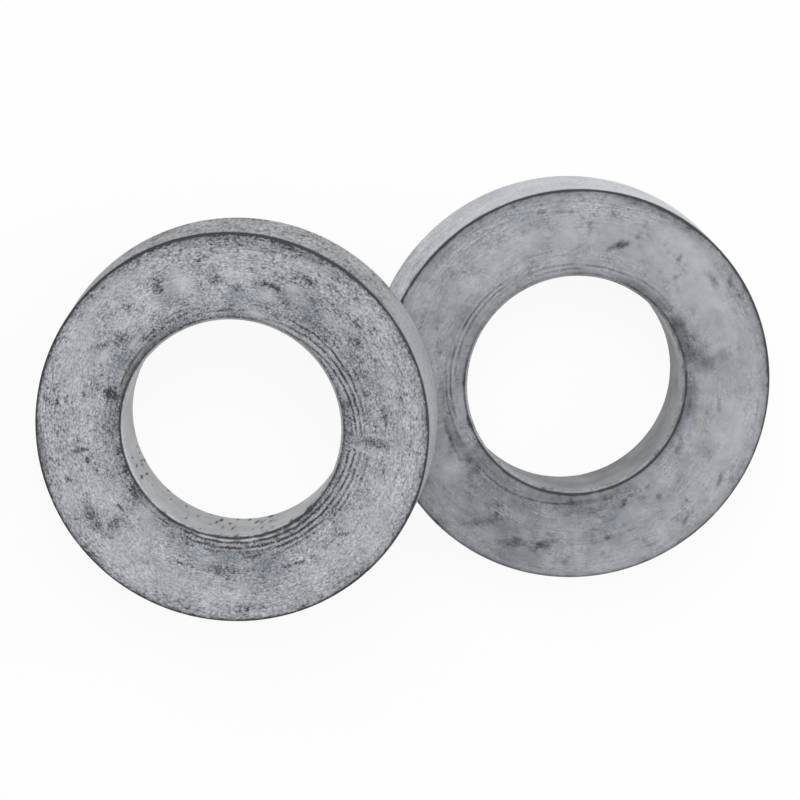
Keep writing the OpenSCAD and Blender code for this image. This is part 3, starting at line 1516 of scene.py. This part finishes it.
PITTED_MARKS = (
    # Broad dull and pale places
    Mark(Stain.DULL, 15.0, 12.0, 5.0, 0.9, 0.13),
    Mark(Stain.DULL, 33.0, 13.8, 10.0, 2.6, 0.16),
    Mark(Stain.PALE, 55.0, 10.85, 7.0, 0.45, 0.15),
    Mark(Stain.PALE, 59.0, 14.2, 2.0, 1.2, 0.2),
    Mark(Stain.DULL, 80.0, 17.8, 8.0, 0.8, 0.2),
    Mark(Stain.DULL, 82.0, 16.6, 2.4, 1.2, 0.08),
    Mark(Stain.PALE, 105.0, 14.4, 1.6, 1.8, 0.28),
    Mark(Stain.DULL, 111.0, 14.4, 1.5, 2.4, 0.26),
    Mark(Stain.DULL, 130.0, 12.8, 2.0, 1.0, 0.08),
    Mark(Stain.PALE, 138.0, 16.6, 9.0, 1.6, 0.15),
    Mark(Stain.PALE, 150.0, 15.0, 2.2, 1.6, 0.12),
    Mark(Stain.PALE, 221.0, 11.5, 1.7, 1.2, 0.27),
    Mark(Stain.PALE, 230.0, 15.0, 5.0, 2.5, 0.12),
    Mark(Stain.PALE, 245.0, 16.2, 3.0, 1.5, 0.12),
    Mark(Stain.DULL, 272.0, 13.6, 7.0, 2.2, 0.17),
    Mark(Stain.DULL, 306.0, 11.7, 7.0, 1.3, 0.15),
    Mark(Stain.PALE, 325.0, 15.8, 6.0, 2.2, 0.1),
    # Single marks
    Mark(Stain.SOOT, 3.0, 14.6, 1.4, 0.55, 0.38),
    Mark(Stain.SOOT, 8.0, 16.35, 2.4, 0.14, 0.14, -3.0),
    Mark(Stain.SOOT, 11.0, 13.2, 0.35, 0.5, 0.25),
    Mark(Stain.PALE, 14.0, 15.3, 1.7, 0.9, 0.2),
    Mark(Stain.SOOT, 17.0, 16.9, 2.6, 0.13, 0.25, 3.0),
    Mark(Stain.SOOT, 23.0, 16.0, 0.9, 0.13, 0.35, 12.0),
    Mark(Stain.SOOT, 24.5, 13.75, 0.7, 0.22, 0.3),
    Mark(Stain.SOOT, 28.0, 16.5, 2.2, 0.12, 0.25, 4.0),
    Mark(Stain.SOOT, 30.0, 16.15, 0.9, 0.25, 0.24),
    Mark(Stain.SOOT, 31.5, 14.4, 0.75, 0.45, 0.42),
    Mark(Stain.SOOT, 38.0, 15.5, 2.4, 0.13, 0.25, -5.0),
    Mark(Stain.SOOT, 42.0, 17.25, 0.4, 0.22, 0.35),
    Mark(Stain.PALE, 42.5, 14.2, 1.5, 0.8, 0.2),
    Mark(Stain.DULL, 49.0, 12.55, 1.2, 0.4, 0.14),
    Mark(Stain.SOOT, 50.0, 16.6, 0.9, 0.2, 0.3),
    Mark(Stain.BLUE, 52.0, 13.3, 1.5, 1.0, 0.3),
    Mark(Stain.SOOT, 54.5, 14.45, 1.0, 0.35, 0.45, 20.0),
    Mark(Stain.SOOT, 59.5, 16.0, 1.4, 0.3, 0.5, 10.0),
    Mark(Stain.SOOT, 61.0, 13.15, 1.0, 0.4, 0.16),
    Mark(Stain.PALE, 62.0, 14.6, 0.8, 0.45, 0.3),
    Mark(Stain.SOOT, 67.0, 13.9, 0.9, 0.28, 0.4, 15.0),
    Mark(Stain.PALE, 71.0, 13.0, 1.1, 0.6, 0.3),
    Mark(Stain.SOOT, 73.5, 14.15, 1.4, 0.28, 0.33, -6.0),
    Mark(Stain.PALE, 74.0, 11.2, 1.0, 0.35, 0.5),
    Mark(Stain.BLUE, 83.0, 12.6, 2.6, 0.65, 0.32),
    Mark(Stain.SOOT, 83.5, 13.3, 0.8, 0.4, 0.35),
    Mark(Stain.PALE, 84.0, 14.8, 1.2, 0.8, 0.2),
    Mark(Stain.SOOT, 91.5, 14.3, 0.9, 0.65, 0.38),
    Mark(Stain.PALE, 92.0, 16.4, 2.0, 0.7, 0.12),
    Mark(Stain.SOOT, 94.0, 16.5, 1.4, 0.2, 0.28, -14.0),
    Mark(Stain.SOOT, 113.5, 15.0, 0.5, 0.8, 0.35),
    Mark(Stain.PALE, 121.0, 14.7, 1.4, 0.7, 0.14),
    Mark(Stain.SOOT, 128.0, 11.7, 0.9, 0.3, 0.4),
    Mark(Stain.PALE, 136.0, 12.1, 0.8, 0.35, 0.4),
    Mark(Stain.SOOT, 137.5, 13.4, 1.2, 0.7, 0.36, 15.0),
    Mark(Stain.BROWN, 138.0, 10.95, 5.5, 0.42, 0.6),
    Mark(Stain.DULL, 141.0, 12.0, 3.0, 0.6, 0.07),
    Mark(Stain.SOOT, 144.5, 14.5, 1.0, 0.4, 0.36, 35.0),
    Mark(Stain.PALE, 147.0, 13.7, 0.9, 0.6, 0.4),
    Mark(Stain.BLUE, 147.5, 12.0, 1.9, 0.7, 0.38),
    Mark(Stain.SOOT, 161.0, 11.8, 0.7, 0.7, 0.45),
    Mark(Stain.SOOT, 164.0, 14.3, 0.5, 0.3, 0.4),
    Mark(Stain.SOOT, 167.0, 15.8, 0.5, 0.25, 0.45),
    Mark(Stain.SOOT, 168.5, 17.0, 0.4, 0.8, 0.4),
    Mark(Stain.BROWN, 184.0, 18.2, 2.2, 0.4, 0.5),
    Mark(Stain.SOOT, 185.5, 14.8, 0.27, 1.1, 0.42),
    Mark(Stain.SOOT, 188.5, 10.95, 0.5, 0.3, 0.4),
    Mark(Stain.SOOT, 189.5, 14.1, 0.5, 0.18, 0.6),
    Mark(Stain.SOOT, 194.5, 16.4, 0.5, 0.3, 0.5),
    Mark(Stain.SOOT, 198.0, 10.9, 0.6, 0.3, 0.4),
    Mark(Stain.PALE, 200.0, 16.8, 1.6, 0.8, 0.14),
    Mark(Stain.PALE, 200.5, 14.2, 1.7, 0.7, 0.2),
    Mark(Stain.DULL, 209.5, 15.9, 2.3, 0.7, 0.42, 8.0),
    Mark(Stain.SOOT, 211.5, 11.3, 0.9, 0.35, 0.4),
    Mark(Stain.SOOT, 212.5, 13.2, 0.4, 0.18, 0.7),
    Mark(Stain.SOOT, 216.5, 14.7, 0.75, 1.2, 0.42),
    Mark(Stain.PALE, 229.0, 12.5, 1.4, 0.7, 0.17),
    Mark(Stain.SOOT, 245.0, 13.95, 1.0, 0.18, 0.5, 6.0),
    Mark(Stain.SOOT, 247.0, 10.75, 0.6, 0.2, 0.6),
    Mark(Stain.BLUE, 251.0, 12.9, 1.1, 1.0, 0.3),
    Mark(Stain.PALE, 253.0, 10.8, 1.3, 0.15, 0.8),
    Mark(Stain.SOOT, 258.0, 11.0, 0.5, 0.14, 0.6),
    Mark(Stain.DULL, 262.0, 11.95, 3.2, 0.4, 0.2),
    Mark(Stain.PALE, 262.5, 10.85, 0.9, 0.15, 0.85),
    Mark(Stain.SOOT, 262.5, 13.85, 2.1, 0.5, 0.4),
    Mark(Stain.BLUE, 263.5, 12.6, 1.5, 0.7, 0.36),
    Mark(Stain.SOOT, 268.5, 10.8, 0.3, 0.2, 0.7),
    Mark(Stain.PALE, 270.0, 13.4, 0.7, 0.5, 0.2),
    Mark(Stain.PALE, 270.0, 15.2, 1.3, 0.7, 0.22),
    Mark(Stain.SOOT, 272.0, 11.2, 0.5, 0.16, 0.6, 20.0),
    Mark(Stain.SOOT, 272.0, 17.4, 2.8, 0.35, 0.25),
    Mark(Stain.PALE, 274.5, 10.85, 1.3, 0.14, 0.8),
    Mark(Stain.SOOT, 276.0, 12.5, 0.5, 0.2, 0.36),
    Mark(Stain.BLUE, 279.0, 13.8, 2.0, 1.1, 0.24),
    Mark(Stain.SOOT, 280.0, 10.8, 0.25, 0.2, 0.7),
    Mark(Stain.SOOT, 281.5, 11.35, 0.6, 0.14, 0.5, -20.0),
    Mark(Stain.PALE, 285.0, 10.9, 0.8, 0.14, 0.6),
    Mark(Stain.SOOT, 293.5, 14.3, 1.7, 0.16, 0.52, 4.0),
    Mark(Stain.SOOT, 294.5, 10.85, 0.5, 0.3, 0.7),
    Mark(Stain.PALE, 298.0, 10.95, 0.6, 0.13, 0.6),
    Mark(Stain.SOOT, 301.0, 10.65, 0.7, 0.2, 0.6),
    Mark(Stain.SOOT, 308.5, 10.65, 0.6, 0.2, 0.6),
    Mark(Stain.SOOT, 312.5, 14.6, 1.1, 0.12, 0.4, 35.0),
    Mark(Stain.SOOT, 319.0, 15.75, 0.25, 0.14, 0.6),
    Mark(Stain.SOOT, 340.0, 14.85, 0.5, 0.2, 0.55),
    Mark(Stain.SOOT, 343.0, 16.2, 1.6, 0.12, 0.3, 5.0),
    Mark(Stain.PALE, 347.0, 12.2, 1.9, 0.13, 0.4, 104.0),
    Mark(Stain.DULL, 350.5, 13.5, 1.7, 0.7, 0.3, 104.0),
    Mark(Stain.SOOT, 352.0, 16.9, 2.0, 0.13, 0.3),
    Mark(Stain.PALE, 356.0, 16.1, 2.0, 0.5, 0.14),
    # More heavily pitted places
    Mark(Stain.PITTED, 60.0, 15.5, 6.0, 2.0, 0.12),
    Mark(Stain.PITTED, 95.0, 16.9, 5.0, 1.0, 0.25),
    Mark(Stain.PITTED, 125.0, 15.8, 5.0, 1.4, 0.18),
    Mark(Stain.PITTED, 170.0, 17.0, 4.5, 1.2, 0.3),
    Mark(Stain.PITTED, 262.0, 17.4, 4.0, 0.8, 0.2),
    Mark(Stain.PITTED, 345.0, 16.8, 5.0, 1.2, 0.15),
)

SMOOTH_LINES = (
    ToolLine(118.0, 168.0, 12.05, 12.1, 0.45),
    ToolLine(119.0, 172.0, 11.68, 11.55, 0.4),
    ToolLine(163.0, 192.0, 12.08, 11.7, 0.45),
    ToolLine(169.0, 204.0, 12.4, 12.05, 0.3),
    ToolLine(84.0, 112.0, 11.5, 11.5, 0.3),
    ToolLine(81.0, 107.0, 11.08, 10.98, 0.35),
    ToolLine(87.0, 101.0, 12.4, 12.35, 0.2),
    ToolLine(94.0, 122.0, 12.95, 12.9, 0.18),
    ToolLine(207.0, 237.0, 12.1, 11.95, 0.35),
    ToolLine(234.0, 264.0, 11.95, 11.5, 0.3),
    ToolLine(261.0, 287.0, 11.5, 11.3, 0.2, 0.2),
    ToolLine(57.0, 84.0, 11.38, 11.38, 0.45),
    ToolLine(36.0, 60.0, 11.7, 11.5, 0.25),
)

SMOOTH_MARKS = (
    # Broad dull and pale places
    Mark(Stain.DULL, 3.0, 13.2, 1.3, 2.4, 0.14),
    Mark(Stain.DULL, 6.0, 12.0, 2.0, 1.5, 0.11),
    Mark(Stain.DULL, 19.5, 11.1, 2.8, 0.9, 0.3),
    Mark(Stain.PALE, 20.0, 15.0, 4.0, 2.0, 0.16),
    Mark(Stain.DULL, 28.0, 11.6, 5.0, 0.5, 0.07),
    Mark(Stain.DULL, 28.0, 17.4, 3.2, 0.7, 0.1),
    Mark(Stain.PALE, 43.0, 16.4, 5.0, 1.2, 0.15),
    Mark(Stain.DULL, 47.0, 10.85, 4.2, 0.7, 0.17),
    Mark(Stain.PALE, 52.0, 15.0, 6.5, 2.8, 0.14),
    Mark(Stain.PALE, 90.0, 14.8, 2.3, 1.2, 0.14),
    Mark(Stain.PALE, 100.0, 14.7, 2.6, 0.8, 0.1),
    Mark(Stain.DULL, 146.0, 12.2, 5.5, 1.4, 0.12),
    Mark(Stain.DULL, 150.0, 15.5, 1.6, 1.6, 0.08),
    Mark(Stain.DULL, 190.0, 12.5, 6.5, 0.8, 0.2),
    Mark(Stain.DULL, 214.0, 12.0, 3.5, 0.8, 0.12),
    Mark(Stain.DULL, 235.0, 14.5, 10.5, 6.0, 0.2),
    Mark(Stain.DULL, 271.0, 11.7, 5.0, 1.1, 0.2),
    Mark(Stain.DULL, 288.0, 14.0, 6.0, 2.8, 0.1),
    Mark(Stain.PALE, 338.0, 15.5, 6.0, 2.4, 0.12),
    Mark(Stain.DULL, 340.0, 10.85, 5.5, 0.6, 0.2),
    # Single marks
    Mark(Stain.DULL, 5.5, 14.4, 0.8, 1.0, 0.12),
    Mark(Stain.DULL, 12.0, 12.3, 2.4, 0.6, 0.1),
    Mark(Stain.SOOT, 17.0, 11.7, 0.9, 0.5, 0.16),
    Mark(Stain.BROWN, 19.0, 10.95, 2.4, 0.5, 0.42),
    Mark(Stain.DULL, 20.0, 14.5, 1.5, 0.9, 0.12),
    Mark(Stain.SOOT, 28.5, 17.6, 1.0, 0.3, 0.22, 30.0),
    Mark(Stain.SOOT, 31.5, 16.25, 1.1, 0.5, 0.33),
    Mark(Stain.DULL, 36.5, 11.3, 1.5, 0.5, 0.14),
    Mark(Stain.SOOT, 41.5, 13.8, 0.35, 0.3, 0.2),
    Mark(Stain.SOOT, 45.5, 15.5, 0.25, 0.5, 0.38, -15.0),
    Mark(Stain.BROWN, 47.0, 10.85, 4.0, 0.35, 0.22),
    Mark(Stain.SOOT, 48.0, 13.3, 0.25, 0.4, 0.2),
    Mark(Stain.PALE, 49.0, 17.0, 2.0, 0.8, 0.12),
    Mark(Stain.SOOT, 61.5, 16.5, 0.35, 0.4, 0.25),
    Mark(Stain.SOOT, 62.5, 15.15, 0.35, 0.45, 0.28),
    Mark(Stain.SOOT, 68.3, 13.75, 1.6, 0.4, 0.5, -36.0),
    Mark(Stain.SOOT, 73.5, 16.5, 0.7, 0.3, 0.2),
    Mark(Stain.BROWN, 78.0, 11.65, 1.0, 0.35, 0.25),
    Mark(Stain.SOOT, 80.5, 15.0, 0.3, 0.9, 0.18),
    Mark(Stain.SOOT, 89.0, 16.5, 1.2, 0.3, 0.25),
    Mark(Stain.SOOT, 97.0, 16.8, 0.5, 0.2, 0.28),
    Mark(Stain.BLUE, 105.0, 17.1, 1.8, 0.6, 0.25),
    Mark(Stain.SOOT, 173.0, 10.68, 0.5, 0.15, 0.4),
    Mark(Stain.SOOT, 194.5, 10.7, 0.8, 0.2, 0.5),
    Mark(Stain.SOOT, 200.0, 12.95, 2.2, 0.25, 0.25),
    Mark(Stain.PALE, 210.0, 14.6, 1.6, 1.2, 0.2),
    Mark(Stain.PALE, 219.0, 15.5, 1.2, 0.7, 0.12),
    Mark(Stain.BLUE, 225.0, 14.0, 1.3, 0.5, 0.3, -20.0),
    Mark(Stain.DULL, 230.0, 16.0, 3.0, 0.5, 0.16, -40.0),
    Mark(Stain.PALE, 236.0, 10.95, 4.0, 0.4, 0.08),
    Mark(Stain.PALE, 241.0, 13.8, 1.6, 0.7, 0.1),
    Mark(Stain.DULL, 244.5, 16.2, 1.6, 0.6, 0.2, -20.0),
    Mark(Stain.PALE, 247.0, 15.0, 0.7, 0.5, 0.2),
    Mark(Stain.DULL, 254.5, 15.7, 1.7, 0.5, 0.23, -25.0),
    Mark(Stain.SOOT, 256.0, 14.6, 0.5, 0.3, 0.2),
    Mark(Stain.SOOT, 275.0, 16.5, 0.35, 0.3, 0.28),
    Mark(Stain.SOOT, 277.5, 15.2, 0.55, 0.3, 0.3),
    Mark(Stain.BLUE, 281.0, 13.6, 1.8, 0.8, 0.26),
    Mark(Stain.SOOT, 287.5, 12.5, 0.6, 0.45, 0.3),
    Mark(Stain.BLUE, 294.0, 13.0, 1.1, 0.6, 0.34),
    Mark(Stain.SOOT, 295.0, 12.85, 0.55, 0.24, 0.35, 20.0),
    Mark(Stain.SOOT, 300.0, 12.2, 0.35, 0.25, 0.28),
    Mark(Stain.SOOT, 302.0, 13.6, 0.35, 0.35, 0.19),
    Mark(Stain.SOOT, 304.5, 17.0, 0.8, 0.2, 0.28, -25.0),
    Mark(Stain.SOOT, 308.5, 15.7, 0.35, 0.35, 0.25),
    Mark(Stain.SOOT, 320.5, 16.9, 1.0, 0.22, 0.28, -15.0),
    Mark(Stain.SOOT, 323.0, 11.8, 0.9, 0.35, 0.25, -20.0),
    Mark(Stain.SOOT, 327.0, 14.4, 0.8, 0.7, 0.15),
    Mark(Stain.BLUE, 335.5, 11.7, 1.4, 0.6, 0.25),
    Mark(Stain.SOOT, 342.0, 13.0, 0.25, 0.22, 0.16),
    Mark(Stain.DULL, 346.5, 11.4, 2.2, 0.6, 0.2),
    Mark(Stain.SOOT, 347.0, 13.9, 1.0, 0.24, 0.22, -15.0),
    # More heavily pitted places
    Mark(Stain.PITTED, 23.0, 17.3, 3.5, 0.8, 0.16),
    Mark(Stain.PITTED, 75.0, 16.9, 6.5, 1.2, 0.3),
    Mark(Stain.PITTED, 115.0, 17.0, 4.5, 1.2, 0.3),
)

PITTED_COAT = Coat(
    seed=11,
    pit_grain=Grain(5, 0.36, 0.32),
    pit_share=-0.1,
    pit_depth=0.025,
    pit_soot=0.33,
    flecks=0.05,
    line_depth=0.04,
    edge_soot=1.05,
    edge_width=0.22,
    edge_fade=0.3,
    bore_soot=0.95,
    bore_fade=0.72,
    bore_faint=48.0,
    mouth_rub=0.8,
    bore_dim=0.06,
    bore_shade=0.29,
    bore_reach=1.6,
    rim_pits=0.7,
    rim_rubbed=(-30.0, 38.0),
    bore_pits=(192.0, 290.0),
    lines=PITTED_LINES,
    marks=PITTED_MARKS,
)

SMOOTH_COAT = Coat(
    seed=53,
    pit_grain=Grain(5, 0.42, 0.38),
    pit_share=-0.85,
    pit_depth=0.015,
    pit_soot=0.5,
    flecks=0.15,
    line_depth=0.03,
    edge_soot=0.88,
    edge_width=0.24,
    edge_fade=0.7,
    bore_soot=0.82,
    bore_fade=0.85,
    bore_faint=98.0,
    mouth_rub=0.4,
    bore_dim=0.16,
    bore_shade=0.13,
    bore_reach=1.2,
    rim_pits=0.15,
    rim_rubbed=(-30.0, 130.0),
    bore_pits=(250.0, 252.0),
    lines=SMOOTH_LINES,
    marks=SMOOTH_MARKS,
)


def pitted_finishes() -> dict[Region, ZincFinish]:
    """Gives the finishes of the leaning washer."""
    return {
        Region.FACE: ZincFinish("pitted_zinc_face"),
        Region.RIM: ZincFinish(
            "pitted_zinc_rim",
            light=(0.56, 0.566, 0.584),
            shade=0.5,
            mottle=0.4,
            streaks=0.0,
            specks=1.0,
            speck_sweep=0.22,
            speck_width=0.8,
        ),
        Region.BORE: ZincFinish(
            "pitted_zinc_bore",
            light=(0.552, 0.56, 0.574),
            shade=0.28,
            mottle=0.3,
            streaks=0.1,
            specks=0.2,
            roughness=0.42,
        ),
        Region.BACK: ZincFinish("pitted_zinc_back"),
    }


def smooth_finishes() -> dict[Region, ZincFinish]:
    """Gives the finishes of the lying washer."""
    return {
        Region.FACE: ZincFinish(
            "smooth_zinc_face",
            shade=0.48,
            patches=0.35,
            mottle=0.27,
            streaks=2.2,
            specks=2.9,
            speck_width=0.2,
        ),
        Region.RIM: ZincFinish(
            "smooth_zinc_rim",
            shade=0.24,
            patches=0.7,
            mottle=0.5,
            streaks=0.0,
            specks=0.9,
            speck_width=0.7,
        ),
        Region.BORE: ZincFinish(
            "smooth_zinc_bore",
            light=(0.552, 0.56, 0.574),
            shade=0.5,
            mottle=0.2,
            streaks=0.1,
            specks=0.15,
            roughness=0.42,
        ),
        Region.BACK: ZincFinish("smooth_zinc_back", mottle=0.6, streaks=0.5, specks=0.8),
    }


def washers(record: dict) -> list[Washer]:
    """Reads both washers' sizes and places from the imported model.

    Args:
        record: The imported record.

    Returns:
        The leaning washer and the lying one.
    """
    low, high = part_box("lying_washer")
    mounts = {m["name"]: m for m in record["mounts"]}
    bore = mounts["lying_bore"]["dims"]
    height = (high.z - low.z) / MM
    section = Section(
        outer=(high.y - low.y) / 2.0 / MM,
        bore=bore["r_mm"],
        height=height,
        chamfer=(height - bore["length_mm"]) / 2.0,
    )
    plans = (
        ("leaning_washer", "leaning_bore", "pitted_zinc", PITTED_COAT, pitted_finishes()),
        ("lying_washer", "lying_bore", "smooth_zinc", SMOOTH_COAT, smooth_finishes()),
    )
    made = []
    for node, mount, slot, coat, finishes in plans:
        axis = Vector(mounts[mount]["axis"]).normalized()
        base = Vector(mounts[mount]["pos_m"]) / MM - axis * height / 2.0
        made.append(Washer(f"{node}_dressed", node, slot, base, axis, section, coat, finishes))
    return made


def main() -> None:
    """Builds the washers and the studio in order."""
    logging.basicConfig(level=logging.INFO, format="%(name)s: %(message)s")
    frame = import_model()
    for washer in washers(frame["record"]):
        piece = washer.build()
        LOG.info("%s: %d faces", piece.name, len(piece.data.polygons))
    Studio().build()


if __name__ == "__main__":
    main()
